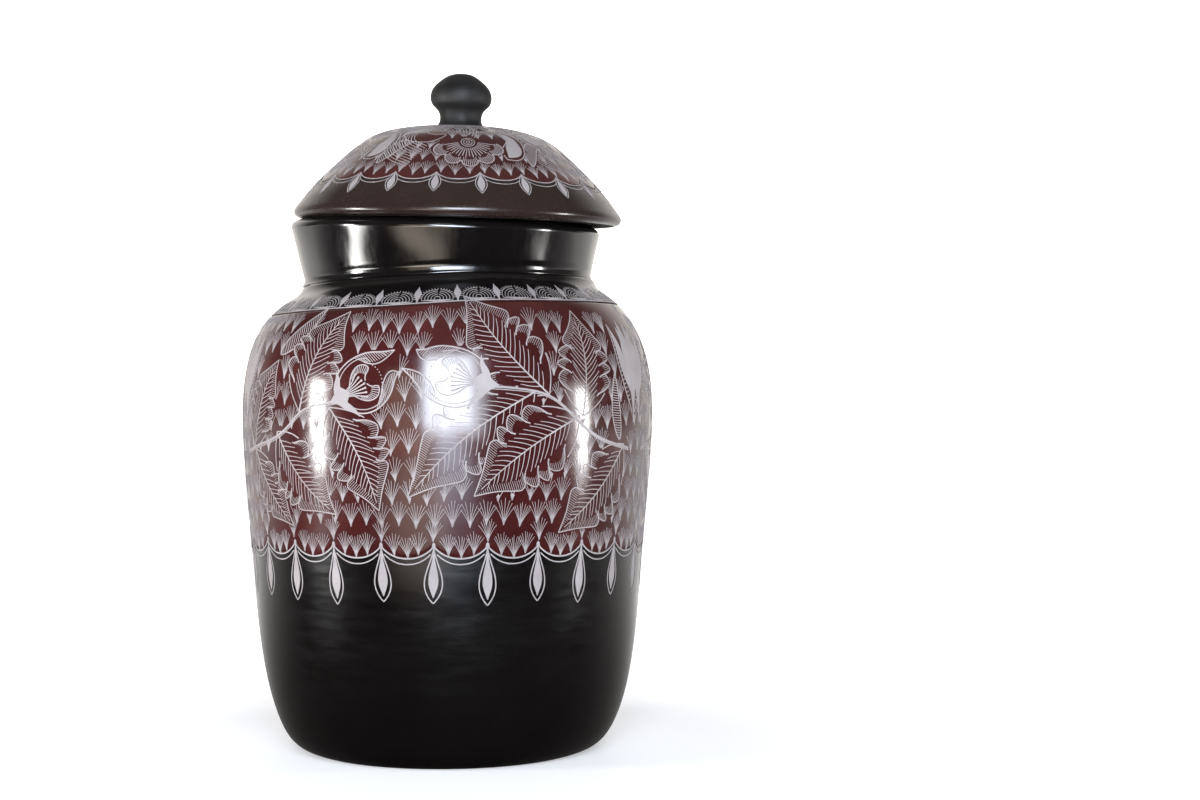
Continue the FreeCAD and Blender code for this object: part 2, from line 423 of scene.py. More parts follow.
def lid_shell(outer_finish, inner_finish):
    """The conical lid with its domed top and thick rim."""
    theta = angles(LID_COLUMNS)
    rows = [lid_place(theta, arc, 0.0) for arc in np.linspace(LID_ARC[0], LID_ARC[-1], 96)[1:]]
    edge = smooth(LID_EDGE[::-1], 0.7)[1:]
    wobble = lid_wobble(theta, LID_LINE[-1, 0])
    out, up = LID_NORMAL[-1]
    for index, (radius, height) in enumerate(edge):
        fade = 1 - (index + 1) / len(edge)
        rows.append(placed(around(theta, radius + wobble * out * fade, height + wobble * up * fade), LID_MATRIX))
    outside_rows = len(rows)
    for radius, height in smooth(LID_INSIDE[::-1], 2.0)[:-1]:
        ridge = 0.25 * np.sin(radius / 2.4 + theta) * smooth_step(-radius, -99, -92) * smooth_step(radius, 6, 16)
        rows.append(placed(around(theta, radius + ridge, height + ridge), LID_MATRIX))
    top = lid_place(np.zeros(1), np.zeros(1), 0.0)
    under = on_lid_axis(*LID_INSIDE[0])
    inside = slice(outside_rows * LID_COLUMNS, None)
    return lump("lid_shell", top, rows, under, [outer_finish, inner_finish], inside)


# ---- the scalloped edge of the slip on the lid ------------------------------
LID_SCALLOPS = 21
LID_BORDER_HEIGHT = 31.0      # height of the cusps above the lid's seat
LID_SCALLOP_DEPTH = 7.0
COLUMNS_PER_LID_SCALLOP = 16
UNDER_KNOB = 14.0             # the lid's coat starts this far from its top, hidden by the knob
LID_BORDER_ARC = float(np.interp(-LID_BORDER_HEIGHT, -LID_LINE[:, 1], LID_ARC))


def lid_scallop(theta, depth):
    """How far out the lid's edge hangs between its cusps, as a distance from the lid's top."""
    return LID_BORDER_ARC + depth * hang(theta * LID_SCALLOPS / (2 * math.pi) + 0.3, 0.75)


def lid_slip_crown(finish):
    """The coat on the lid, from under the knob to its scalloped edge."""
    theta = angles(LID_SCALLOPS * COLUMNS_PER_LID_SCALLOP)
    return coat("lid_slip_crown", lid_place, theta, UNDER_KNOB, lid_scallop(theta, LID_SCALLOP_DEPTH), 52, finish)


def knob(finish):
    """The mushroom knob, a little uneven, as pinched by hand."""
    theta = angles(KNOB_COLUMNS)
    outline = smooth(KNOB_OUTSIDE, 0.8)
    foot_height = KNOB_OUTSIDE[0][1]
    rows = []
    for radius, height in outline[:-1]:
        swell = 0.35 * np.sin(2 * theta + 0.7) + 0.22 * np.sin(3 * theta + height / 9.0) + 0.1 * np.sin(7 * theta)
        flare = 1.6 * np.exp(-((height - 70.0) / 2.2) ** 2) if height > foot_height else 1.0
        swollen = radius + swell * smooth_step(radius, 1.0, 10.0) + flare
        rows.append(placed(around(theta, swollen, height), LID_MATRIX))
    return lump(
        "lid_knob_head", on_lid_axis(0.0, foot_height), rows, on_lid_axis(0.0, outline[-1][1]), [finish])


# ---- the engraving ----------------------------------------------------------
CELL = 0.8                    # of the grid that keeps strokes from crossing
BAND_BOTTOM, BAND_TOP = -60.0, 240.0      # of the pot's drawing, from the cusps


class Drawing:
    """Strokes and filled shapes drawn flat, then laid on the pot or the lid as closed slivers of bare clay."""

    def __init__(self, place, low, high, wraps, cell=CELL):
        self.place, self.low, self.wraps, self.cell = place, np.array(low), wraps, cell
        columns, rows = np.ceil((np.array(high) - self.low) / cell).astype(int) + 1
        self.taken = np.zeros((rows, columns), bool)
        self.shift, self.mirror, self.rise = 0.0, 1.0, 0.0
        self.sheets = {}
        self.to("strokes", INK)

    def to(self, sheet, lift):
        """Later strokes go to this sheet, with their tops this far off the surface."""
        self.sheet = self.sheets.setdefault(sheet, {"places": [], "faces": [], "count": 0})
        self.lift = lift

    def moved(self, points):
        return np.asarray(points, float) * (self.mirror, 1) + (self.shift, self.rise)

    def cells(self, points):
        index = np.round((points - self.low) / self.cell).astype(int)
        columns = self.taken.shape[1]
        index[:, 0] = index[:, 0] % columns if self.wraps else np.clip(index[:, 0], 0, columns - 1)
        index[:, 1] = np.clip(index[:, 1], 0, self.taken.shape[0] - 1)
        return index

    def take(self, outline):
        """Keeps later strokes out of an outline."""
        ring = self.moved(outline)
        low, high = ring.min(axis=0), ring.max(axis=0)
        x, y = np.meshgrid(np.arange(low[0], high[0], self.cell), np.arange(low[1], high[1], self.cell))
        inside = np.zeros(x.shape, bool)
        for (ax, ay), (bx, by) in zip(ring, np.roll(ring, -1, axis=0), strict=True):
            if ay != by:
                inside ^= ((ay > y) != (by > y)) & (x < (bx - ax) * (y - ay) / (by - ay) + ax)
        index = self.cells(np.stack([x[inside], y[inside]], axis=1))
        self.taken[index[:, 1], index[:, 0]] = True

    def is_free(self, points):
        index = self.cells(self.moved(points))
        return ~self.taken[index[:, 1], index[:, 0]]

    def add(self, flat, lifts, faces):
        self.sheet["places"].append(np.column_stack([self.moved(flat), lifts]))
        self.sheet["faces"].extend(tuple(v + self.sheet["count"] for v in face) for face in faces)
        self.sheet["count"] += len(flat)

    def line(self, points, width, start=1.0, end=1.0, spacing=2.4, clip=True):
        """A stroke along points, its width changing from start to end times width."""
        points = np.asarray(points, float)
        along = arc_lengths(points)
        if along[-1] < 0.5:
            return
        count = max(2, int(math.ceil(along[-1] / spacing)) + 1)
        middle = resampled(along, points, np.linspace(0, along[-1], count))
        half = 0.5 * width * np.linspace(start, end, len(middle))
        free = self.is_free(middle) if clip else np.ones(len(middle), bool)
        run = []
        for index in range(len(middle) + 1):
            if index < len(middle) and free[index]:
                run.append(index)
                continue
            if len(run) > 1:
                self.ribbon(middle[run], half[run])
            run = []

    def ribbon(self, middle, half):
        side = -normals(middle)
        count = len(middle)
        flat = np.concatenate([middle + side * half[:, None], middle - side * half[:, None], middle])
        lifts = np.repeat([self.lift, self.lift, KEEL], count)
        faces = [(0, 2 * count, count), (count - 1, 2 * count - 1, 3 * count - 1)]
        for i in range(count - 1):
            for a, b in ((0, count), (count, 2 * count), (2 * count, 0)):
                faces.append((a + i, b + i, b + i + 1, a + i + 1))
        self.add(flat, lifts, faces)

    def blade(self, middle, half_widths, spacing=2.2, clip=False):
        """A filled shape along a middle line, with half-widths given at even steps along it."""
        middle = np.asarray(middle, float)
        along = arc_lengths(middle)
        rows = max(4, int(along[-1] / spacing) + 1)
        even = np.linspace(0, along[-1], rows)
        centre = resampled(along, middle, even)
        if clip and not self.is_free(centre).all():
            return
        shares = np.linspace(0, along[-1], len(half_widths))
        half = np.maximum(natural_cubic(shares, np.array(half_widths, float), even), 0.12)
        side = -normals(centre)
        across = np.linspace(-1, 1, 2 * max(1, int(math.ceil(half.max() / 2.6))) + 1)
        grid = centre[:, None] + side[:, None] * (half[:, None] * across)[:, :, None]
        columns = len(across)
        count = rows * columns
        flat = np.concatenate([grid.reshape(-1, 2), grid.reshape(-1, 2)])
        lifts = np.repeat([self.lift, KEEL], count)
        faces = []
        for row in range(rows - 1):
            for column in range(columns - 1):
                a = row * columns + column
                top = (a, a + 1, a + columns + 1, a + columns)
                faces += [top, tuple(v + count for v in top[::-1])]
        edge = [row * columns for row in range(rows)] + [(rows - 1) * columns + c for c in range(1, columns)]
        edge += [row * columns + columns - 1 for row in range(rows - 2, -1, -1)] + list(range(columns - 2, 0, -1))
        for a, b in zip(edge, edge[1:] + edge[:1], strict=True):
            faces.append((a, b, b + count, a + count))
        self.add(flat, lifts, faces)

    def dot(self, centre, radius):
        turn = np.linspace(0, 2 * math.pi, 7)[:-1]
        flat = np.array(centre) + radius * facing(turn)
        if self.is_free(flat).all():
            flat = np.concatenate([flat, [centre]])
            faces = [tuple(range(6))] + [((i + 1) % 6, i, 6) for i in range(6)]
            self.add(flat, np.array([self.lift] * 6 + [KEEL]), faces)

    def pieces(self, finish):
        made = []
        for name, sheet in self.sheets.items():
            if sheet["count"]:
                places = np.concatenate(sheet["places"])
                points = self.place(places[:, 0], places[:, 1], places[:, 2])
                made.append(make_object(name, points, sheet["faces"], [finish], smooth_shaded=False))
        return made


def arc_round(centre, wide, tall, start, end, steps=16, tilt=0.0):
    """Part of an ellipse about a centre, its angles in degrees."""
    turn = np.radians(np.linspace(start, end, steps))
    x, y = wide * np.cos(turn), tall * np.sin(turn)
    slope = math.radians(tilt)
    return np.array(centre) + np.stack(
        [x * math.cos(slope) - y * math.sin(slope), x * math.sin(slope) + y * math.cos(slope)], axis=1)


def curve(*points, steps=14):
    """A smooth flat curve through a few points."""
    through = np.array(points, float)
    knots = arc_lengths(through)
    return splined(knots, through, np.linspace(0, knots[-1], steps))


def facing(radians):
    """Unit vectors at angles from the first axis of a drawing."""
    return np.stack([np.cos(radians), np.sin(radians)], axis=-1)


def jitter(amount):
    return random.uniform(-amount, amount)


class Frame:
    """Places along and across a gently bent middle line, as shares of its length and in millimetres."""

    def __init__(self, base, tip, bend=0.0):
        self.base, self.tip = np.array(base, float), np.array(tip, float)
        self.length = float(np.linalg.norm(self.tip - self.base))
        self.ahead = (self.tip - self.base) / self.length
        self.side = np.array([-self.ahead[1], self.ahead[0]])
        self.bend = bend

    def at(self, along, across):
        along, across = np.broadcast_arrays(np.asarray(along, float), np.asarray(across, float))
        sag = self.bend * self.length * np.sin(np.pi * np.clip(along, 0, 1))
        return self.base + along[..., None] * self.length * self.ahead + (across + sag)[..., None] * self.side


LEAF_SHARES = np.array([0.0, 0.06, 0.18, 0.36, 0.55, 0.70, 0.84, 0.94, 1.0])
LEAF_WIDTHS = np.array([0.0, 0.30, 0.72, 1.0, 0.98, 0.74, 0.36, 0.13, 0.0])
LEAF_NOTCHES = (0.24, 0.42, 0.525, 0.63)


def leaf_width(share):
    return np.maximum(natural_cubic(LEAF_SHARES, LEAF_WIDTHS, np.asarray(share, float)), 0.0)


def leaf(drawing, base, tip, half_width, bend, veins=16):
    """A pointed leaf: midrib, feathered veins, a plain field and a hatched rim, lobed where it is widest."""
    frame = Frame(base, tip, bend)
    sides = {}
    for side in (1, -1):
        notches = [n + jitter(0.015) for n in LEAF_NOTCHES]
        runs = []
        share = np.linspace(0.0, notches[0], 14)
        runs.append(("plain", share, leaf_width(share)))
        for start, end in zip(notches, notches[1:], strict=False):
            u = np.linspace(0, 1, 13)
            share = start + (end - start) * (u + 0.06 * np.sin(2 * np.pi * u))
            runs.append(("lobe", share, leaf_width(share) * (0.80 + 0.30 * np.sin(np.pi * u) ** 0.55)))
        u = np.linspace(0, 1, 26)
        share = notches[-1] + (1 - notches[-1]) * u
        flare = 0.80 + 0.30 * np.minimum(1, u / 0.16) ** 0.6
        runs.append(("strip", share, leaf_width(share) * np.where(u > 0.16, 1.1 - 0.1 * (u - 0.16) / 0.84, flare)))
        sides[side] = runs
    outline = [frame.at(share, half_width * width) for _, share, width in sides[1]]
    back = [frame.at(share, -half_width * width)[::-1] for _, share, width in sides[-1][::-1]]
    polygon = np.concatenate(outline + back)
    for side, runs in sides.items():
        for kind, share, width in runs:
            edge = frame.at(share, side * half_width * width)
            drawing.line(edge, 0.82 if kind == "plain" else 0.74)
            if kind == "plain":
                continue
            hook = curve(
                edge[0], frame.at(share[0] - 0.012, side * half_width * width[0] * 0.86),
                frame.at(share[0] - 0.035, side * half_width * width[0] * 0.72), steps=5)
            drawing.line(hook, 0.8, 1.0, 1.3)
            hatch_edge(drawing, frame, share, side * half_width * width, kind)
    spine = frame.at(np.linspace(0, 0.93, 22), 0.0)
    drawing.line(spine, 1.25, 1.0, 0.45)
    for side in (1, -1):
        for index in range(veins):
            at = 0.07 + 0.80 * (index + 0.5 * (side > 0)) / veins + jitter(0.006)
            reach = 0.49 * half_width * float(leaf_width(min(at + 0.10, 0.98))) + 1.2
            forward = (0.95 * reach + 1.5) / frame.length
            vein = curve(
                frame.at(at, 0.0), frame.at(at + 0.34 * forward, side * 0.42 * reach),
                frame.at(at + (0.94 + jitter(0.05)) * forward, side * reach * (1 + jitter(0.08))), steps=6)
            drawing.line(vein, 0.54, 1.1, 0.85)
    drawing.take(polygon)


def hatch_edge(drawing, frame, share, across, kind):
    """Comb strokes from a leaf's rim inwards."""
    edge = frame.at(share, across)
    along = arc_lengths(edge)
    count = max(3, int(along[-1] / 1.55))
    for index in range(count):
        u = (index + 0.5) / count
        at = float(np.interp(u * along[-1], along, share))
        out = float(np.interp(u * along[-1], along, across))
        if kind == "lobe":
            depth = 6.2 * (0.62 + 0.38 * math.sin(math.pi * u))
        else:
            depth = 7.0 * (1 - u) ** 0.7 + 0.8
        depth = min(depth, abs(out) * 0.62) * (1 + jitter(0.1))
        inner = out - math.copysign(depth, out)
        lean = -0.30 * depth / frame.length
        drawing.line(frame.at(np.array([at, at + lean]), np.array([out, inner])), 0.36, 1.0, 0.8)


def feather(drawing, base, tip, half_width, bend):
    """A narrow strip of slanting strokes between two lines."""
    frame = Frame(base, tip, bend)
    share = np.linspace(0, 1, 26)
    width = half_width * np.sin(np.pi * share ** 0.75) ** 0.8
    for side in (1, -1):
        drawing.line(frame.at(share, side * width), 0.95)
    count = int(frame.length / 1.7)
    for index in range(1, count):
        at = index / count
        reach = float(np.interp(at, share, width)) * 0.92
        drawing.line(frame.at(np.array([at + 0.012, at - 0.012]), np.array([reach, -reach])), 0.55)
    drawing.take(np.concatenate([frame.at(share, width), frame.at(share, -width)[::-1]]))


def tuft(drawing, x, y, height, lean=0.0, spread=0.45):
    """A fan of strokes rising from a point."""
    ahead = np.array([math.sin(lean), math.cos(lean)])
    base = np.array([x, y])
    if not drawing.is_free(np.array([base + 3.0 * ahead]))[0]:
        return
    count = random.choice((7, 8, 8, 9))
    for index in range(count):
        share = 2 * index / (count - 1) - 1
        angle = spread * share + jitter(0.025)
        length = height * (1 - 0.15 * share * share) * (1 + jitter(0.07))
        run = np.linspace(0, 1, 5)
        turn = lean + angle * (0.74 + 0.42 * run)
        stroke = base + (length * run)[:, None] * np.stack([np.sin(turn), np.cos(turn)], axis=1)
        drawing.line(stroke, 0.38, 1.15, 0.75, spacing=3.8)
    drawing.blade([base - 0.6 * ahead, base + 1.6 * ahead, base + 4.4 * ahead], (0.25, 0.6, 1.0, 0.9, 0.2), clip=True)


def bud(drawing, base, tip, half_width, bend=0.0):
    """A half-open flower: solid calyx, two curling outer petals, stamens and two frilled inner petals."""
    frame = Frame(base, tip, bend)
    w = half_width

    def arm(alongs, acrosses, steps):
        return curve(*frame.at(np.array(alongs), np.array(acrosses) * w), steps=steps)

    drawing.blade(frame.at(np.linspace(-0.04, 0.27, 9), 0.0), (0.7, 0.12 * w, 0.27 * w, 0.36 * w, 0.24 * w, 0.1))
    rims = []
    for side in (1, -1):
        sepal = arm([0.10, 0.15, 0.21, 0.24], [side * v for v in (0.10, 0.40, 0.66, 0.94)], 10)
        drawing.blade(sepal, (0.12 * w, 0.13 * w, 0.08 * w, 0.1))
        long = side > 0
        end, across = (1.08, 0.30) if long else (0.98, 0.46)
        across = [0.24, 0.70, 0.98, 1.0, 0.80, 0.52, across]
        petal = arm([0.10, 0.20, 0.38, 0.58, 0.78, 0.92, end], [side * v for v in across], 34)
        drawing.line(petal, 1.0)
        drawing.line(arm([0.14, 0.24, 0.40, 0.57, 0.70], [side * 0.88 * v for v in across[:5]], 20), 0.62)
        rims.append(petal)
        inner = arm([end, 0.90, 0.76, 0.64], [side * v for v in (across[-1], 0.24, 0.34, 0.66)], 16)
        inner[0] = petal[-1]
        drawing.line(inner, 0.85)
        for index in range(17):
            rim = petal[16 + index]
            toward = inner[int(round((16 - index) / 17 * 15))]
            drawing.line([rim, rim + 0.8 * (toward - rim)], 0.45)
        lobe = arm([0.30, 0.46, 0.60, 0.66, 0.58, 0.54], [side * v for v in (0.14, 0.62, 0.62, 0.36, 0.24, 0.06)], 24)
        drawing.line(lobe, 0.85)
        for index in range(12):
            rim = lobe[5 + index]
            drawing.line([rim, rim + 0.36 * (frame.at(0.40, 0.0) - rim)], 0.48)
    for index in range(7):
        share = index / 3.0 - 1
        stamen = arm([0.22, 0.36, 0.50 - 0.05 * abs(share)], [0.1 * share, 0.26 * share, 0.44 * share], 6)
        drawing.line(stamen, 0.85, 0.8, 1.2)
        drawing.dot(frame.at(0.51 - 0.05 * abs(share), 0.45 * w * share), 0.9)
    for index in range(11):
        share = index / 5.0 - 1
        drawing.dot(frame.at(0.76 - 0.10 * share * share, 0.60 * w * share), 0.5)
    drawing.take(np.concatenate([rims[0], rims[1][::-1], frame.at(np.array([0.0]), 0.0)]))


def tulip(drawing, x, low, high):
    """A tall solid blossom of three overlapping blades, outlined and hatched beside."""

    def up(*points, side=1, **steps):
        return curve(*((x + side * a, low + b * (high - low)) for a, b in points), **steps)

    drawing.blade(up((0.0, 0.0), (1.0, 0.5), (0.0, 1.0)), (0.5, 1.2, 3.2, 6.4, 8.0, 7.0, 3.4, 0.1))
    for side in (1, -1):
        drawing.blade(up((1.5, 0.28), (9.0, 0.5), (11.5, 0.72), (15.5, 0.93), side=side), (0.3, 2.4, 3.6, 2.6, 0.1))
        rim = up((2.0, 0.1), (13.5, 0.42), (17.0, 0.72), (16.5, 0.95), side=side, steps=22)
        drawing.line(rim, 1.0)
        for start in rim[3:19]:
            drawing.line([start, start + (-side * 3.4, 1.2)], 0.55)
    side_rim = np.array([(17.0, 0.95), (17.5, 0.72), (14.0, 0.42), (2.5, 0.1)])
    ring = [(x + a, low + b * (high - low)) for a, b in side_rim]
    ring += [(x - a, low + b * (high - low)) for a, b in side_rim[::-1]]
    drawing.take(ring + [(x, high)])


DEGREE = BAND_ROUND / 360
SPRAY_RISE = -9.5             # the sprays are drawn from a line this far below the cusps


RIGHT_MIRROR, LEFT_MIRROR = 66.0, -70.0     # degrees at which each spray meets its mirror image
TUFT_ROWS, TUFTS_ROUND = 10, 78


def at(degrees, y):
    return (degrees * DEGREE, y)


def leaves(drawing, *rows):
    """Leaves from rows of base, tip, half-width, bend and number of veins."""
    for base, tip, half_width, bend, veins in rows:
        leaf(drawing, at(*base), at(*tip), half_width, bend, veins)


def stem(drawing, *points):
    path = curve(*(at(*point) for point in points), steps=40)
    drawing.line(path, 1.5, 1.3, 0.8)
    drawing.line(path + (0.5, -1.5), 0.65)


def right_spray(drawing):
    """One branch with a bud and five leaves, reaching to the left."""
    stem(drawing, (61.5, 74), (54, 77.5), (46.2, 83.7), (39.5, 95), (31.2, 110.7), (23, 115.5), (15.0, 117.0))
    bud(drawing, at(16.2, 118.0), at(-6.0, 134), 20.0, 0.04)
    feather(drawing, at(56.5, 80), at(55.2, 127), 4.8, 0.06)
    tulip(drawing, 64.0 * DEGREE, 92.0, 166.0)
    leaves(
        drawing,
        ((58.7, 77), (34.9, 17), 21.5, 0.05, 16),
        ((40.5, 97), (10.6, 43), 24.0, -0.05, 17),
        ((26.8, 113.5), (-6.8, 42), 24.0, -0.06, 18),
        ((41.7, 97), (43.6, 172), 22.5, -0.04, 16),
        ((31.0, 111.5), (9.0, 183), 24.0, 0.05, 16))


def left_spray(drawing):
    """The branch that meets it, with a bud, five leaves and a winged feather."""
    stem(drawing, (-66, 72), (-57, 77), (-47, 84), (-42, 92), (-38.0, 100), (-32, 104.5), (-26.5, 107.0))
    bud(drawing, at(-27.4, 107), at(-10.6, 135), 19.5, -0.05)
    tulip(drawing, -68.0 * DEGREE, 92.0, 160.0)
    leaves(
        drawing,
        ((-28.5, 103), (-14.6, 33), 21.0, 0.06, 16),
        ((-47.9, 86), (-27.4, 30), 20.5, -0.07, 16),
        ((-60.5, 73), (-43.2, 21), 15.0, -0.06, 13),
        ((-61.0, 75), (-48.8, 136), 17.5, 0.05, 14),
        ((-38.6, 100), (-26.4, 172), 21.5, 0.06, 16))
    feather(drawing, at(-48.5, 140), at(-35.5, 175), 6.0, -0.05)


def tuft_rows(drawing):
    """Rows of fans between the sprays, the lowest following the scallops."""
    for cusp in range(SCALLOPS):
        for share, rise in ((0.0, 3.4), (0.27, -6.0), (0.5, -8.6), (0.73, -6.0)):
            tuft(drawing, (cusp + share) * SCALLOP_PITCH + jitter(0.7), rise + jitter(0.7), 14.5, jitter(0.06))
    spacing = BAND_ROUND / TUFTS_ROUND
    for row in range(TUFT_ROWS):
        for column in range(TUFTS_ROUND):
            x = (column + 0.5 * (row % 2) + 0.12 * math.sin(row * 2.3)) * spacing + jitter(1.0)
            y = 12.5 + 16.8 * row + jitter(1.1) + 1.6 * math.sin(x / 61.0 + row)
            height = min(16.2 + jitter(0.9), float(ring_y(x)) - 2.5 - y)
            if height > 8.0:
                tuft(drawing, x, y, height, jitter(0.08) + 0.05 * math.sin(x / 40.0))


def lower_border(drawing):
    """Double scalloped line with an outlined drop under every cusp."""
    for index in range(SCALLOPS):
        x0 = index * SCALLOP_PITCH

        def border(x, y, width, spacing):
            drawing.line(np.stack([x0 + x, y], 1), width, clip=False, spacing=spacing)

        x = np.linspace(0.0, SCALLOP_PITCH, 31)
        drawing.to("engraved_border_lower", SLIP_THICKNESS + INK)
        border(x, scallop_y(x, SCALLOP_DEPTH) - 0.2, 1.1, 1.3)
        drawing.to("engraved_border_lower", INK)
        x = np.linspace(2.2, SCALLOP_PITCH - 2.2, 27)
        border(x, -3.2 - 9.6 * hang(x / SCALLOP_PITCH, 0.9), 0.85, 1.5)
        wide, tall = 6.2 + jitter(0.5), 38.0 + jitter(2.0)
        lean = jitter(1.2)
        share = np.linspace(0, 1, 26)
        half = wide * np.sin(np.pi * share ** 1.55) ** 0.85
        for side in (1, -1):
            drop = np.stack([x0 + lean * share + side * half, -2.0 - tall * share], 1)
            drawing.line(drop, 0.85, 1.2, 1.0, clip=False, spacing=1.6)
        drawing.blade(
            [(x0, -1.0), (x0 + 0.5 * lean, -18.0), (x0 + lean, -2.0 - tall * 0.9)],
            (0.5, 0.6, 1.0, 1.9, 2.9, 3.5, 3.3, 1.9, 0.2))
        drawing.blade([(x0, -2.0), (x0, 0.0), (x0, 3.2)], (1.1, 1.3, 0.2))


def shoulder_border(drawing):
    """The ring line, with groups of nested arches on it and a solid leaf between each pair."""
    drawing.to("engraved_border_shoulder", SLIP_THICKNESS + INK)
    x = np.linspace(0, BAND_ROUND, 420)
    drawing.line(np.stack([x, ring_y(x)], 1), 1.05, clip=False)
    drawing.to("engraved_border_shoulder", INK)
    pitch = BAND_ROUND / ARCHES
    for index in range(ARCHES):
        x0 = (index + 0.04) * pitch + jitter(0.5)
        base = float(ring_y(x0)) + 0.8
        wide, tall = 0.38 * pitch + jitter(0.4), 9.4 + jitter(0.5)
        middle = base + 2.8
        for ring in range(5):
            share = 1 - ring / 5.0
            arch = arc_round((x0, middle), wide * share, tall * share, -90, 270, 33)
            shown = arch[arch[:, 1] > base]
            split = int(np.argmax(np.linalg.norm(np.diff(shown, axis=0), axis=1))) + 1
            if len(shown) < len(arch):
                shown = np.concatenate([shown[split:], shown[:split]])
            drawing.line(shown, 0.5, clip=False, spacing=1.7)
        for tick in range(17):
            turn = np.pi * (tick + 0.5) / 17
            ray = np.array([wide * np.cos(turn), tall * np.sin(turn)])
            drawing.line([(x0, middle) + 1.04 * ray, (x0, middle) + 1.2 * ray], 0.5, clip=False)
        gap = x0 + 0.5 * pitch
        lean = jitter(0.8)
        drawing.blade(
            [(gap, base - 0.4), (gap + 0.4 * lean, base + 8.0), (gap + lean, base + 17.0 + jitter(0.8))],
            (0.4, 0.8, 2.1, 3.1, 2.4, 1.0, 0.1))


def pot_engraving():
    drawing = Drawing(on_band, (0.0, BAND_BOTTOM), (BAND_ROUND - CELL, BAND_TOP), wraps=True)
    third = BAND_ROUND / 3
    drawing.rise = SPRAY_RISE
    for sheet, spray, shift, mirror in (
        ("a", right_spray, 0.0, 1.0),
        ("a", right_spray, 2 * RIGHT_MIRROR * DEGREE, -1.0),
        ("b", right_spray, third, 1.0),
        ("b", left_spray, 0.0, 1.0),
        ("c", left_spray, 2 * LEFT_MIRROR * DEGREE, -1.0),
        ("c", left_spray, -third, 1.0),
    ):
        drawing.to("engraved_leaves_" + sheet, SLIP_THICKNESS + INK)
        drawing.shift, drawing.mirror = shift, mirror
        spray(drawing)
    drawing.shift, drawing.mirror, drawing.rise = 0.0, 1.0, 0.0
    drawing.to("engraved_tufts", SLIP_THICKNESS + INK)
    tuft_rows(drawing)
    lower_border(drawing)
    shoulder_border(drawing)
    return drawing.pieces(ENGRAVED)


def on_disc(degrees, distance):
    """Places in the lid's drawing, from angles from the front and distances from the middle."""
    turn = np.radians(degrees)
    return np.stack([distance * np.sin(turn), -distance * np.cos(turn)], axis=-1)


def lid_border(drawing):
    """Double scalloped line on the lid, with an outlined solid leaf under every cusp."""
    pitch = 360.0 / LID_SCALLOPS
    for index in range(LID_SCALLOPS):
        start = (index - 0.3) * pitch
        degrees = np.linspace(start, start + pitch, 22)
        drawing.to("engraved_lid_border", SLIP_THICKNESS + INK)
        edge = lid_scallop(np.radians(degrees), LID_SCALLOP_DEPTH)
        drawing.line(on_disc(degrees, edge + 0.2), 0.8, clip=False, spacing=1.5)
        drawing.to("engraved_lid_border", INK)
        inner = degrees[2:-2]
        edge = lid_scallop(np.radians(inner), LID_SCALLOP_DEPTH + 1.0) + 2.6
        drawing.line(on_disc(inner, edge), 0.62, clip=False, spacing=1.5)
        cusp, size = LID_BORDER_ARC + 0.5, 19.0 + jitter(0.8)
        share = np.linspace(0, 1, 16)
        wide = 4.7 * np.sin(np.pi * share ** 1.1) ** 0.9
        for side in (1, -1):
            out = cusp + size * share
            drawing.line(on_disc(start + np.degrees(side * wide / out), out), 0.66, clip=False, spacing=1.5)
        drawing.blade(
            on_disc(np.full(7, start), cusp + np.linspace(1.0, size - 1.6, 7)), (0.3, 1.3, 2.6, 3.0, 2.2, 0.3))


def rosette(drawing, centre, heading):
    """An eye of rings, a fan of strokes and a frill of five hatched petals facing one way."""
    for radius in (1.4, 3.2, 5.0):
        drawing.line(arc_round(centre, radius, radius, 0, 360, 18), 0.6, spacing=1.4)
    frill = []
    for petal in range(5):
        middle = heading + (petal - 2) * 37.0
        reach = 21.0 + 6.0 * np.cos(np.linspace(-np.pi / 2, np.pi / 2, 11)) ** 0.6
        away = math.radians(middle) + np.radians(np.linspace(-18.5, 18.5, 11))
        rim = centre + reach[:, None] * facing(away)
        drawing.line(rim, 0.85)
        frill.append(rim)
        for k in range(1, 10):
            drawing.line([rim[k], rim[k] + 0.26 * (centre - rim[k])], 0.48)
    for ray in range(19):
        ahead = facing(math.radians(heading + (ray - 9) * 9.6))
        drawing.line([centre + 7.0 * ahead, centre + (17.6 - 1.4 * (ray % 2)) * ahead], 0.66, 0.7, 1.1)
    drawing.take(np.concatenate([*frill, [centre]]))
    drawing.take(arc_round(centre, 5.2, 5.2, 0, 350, 14))


def paisley(drawing, base, turn, size):
    """A solid comma with a line round it."""
    slope = math.radians(turn)
    ahead = facing(slope)
    side = np.array([-ahead[1], ahead[0]])

    def place(a, b):
        return np.array(base) + size * (a * ahead + b * side)

    middle = curve(place(0, 0), place(0.34, -0.05), place(0.68, 0.06), place(0.94, 0.30), place(0.98, 0.52), steps=18)
    drawing.blade(middle, (0.3, 0.19 * size, 0.24 * size, 0.17 * size, 0.09 * size, 0.1), clip=True)
    round_it = curve(
        place(-0.12, 0.02), place(0.08, -0.29), place(0.42, -0.37), place(0.82, -0.22), place(1.1, 0.1),
        place(1.06, 0.56), place(0.86, 0.34), place(0.56, 0.25), place(0.16, 0.26), place(-0.12, 0.02), steps=44)
    drawing.line(round_it, 0.8)
    drawing.take(round_it)


def swirl(drawing, centre, turn, count, first, step):
    """Nested hooked lines, like combed hair, round a centre."""
    tail = np.linspace(0, 1, 6)[:, None] * 9.0 * facing(math.radians(turn - 84))
    for index in range(count):
        radius = first + step * index
        path = arc_round(centre, radius * 1.12, radius, -20 - 3 * index, 190, 24, turn)
        drawing.line(np.concatenate([path, path[-1] + tail[1:]]), 0.7, 1.1, 0.7)


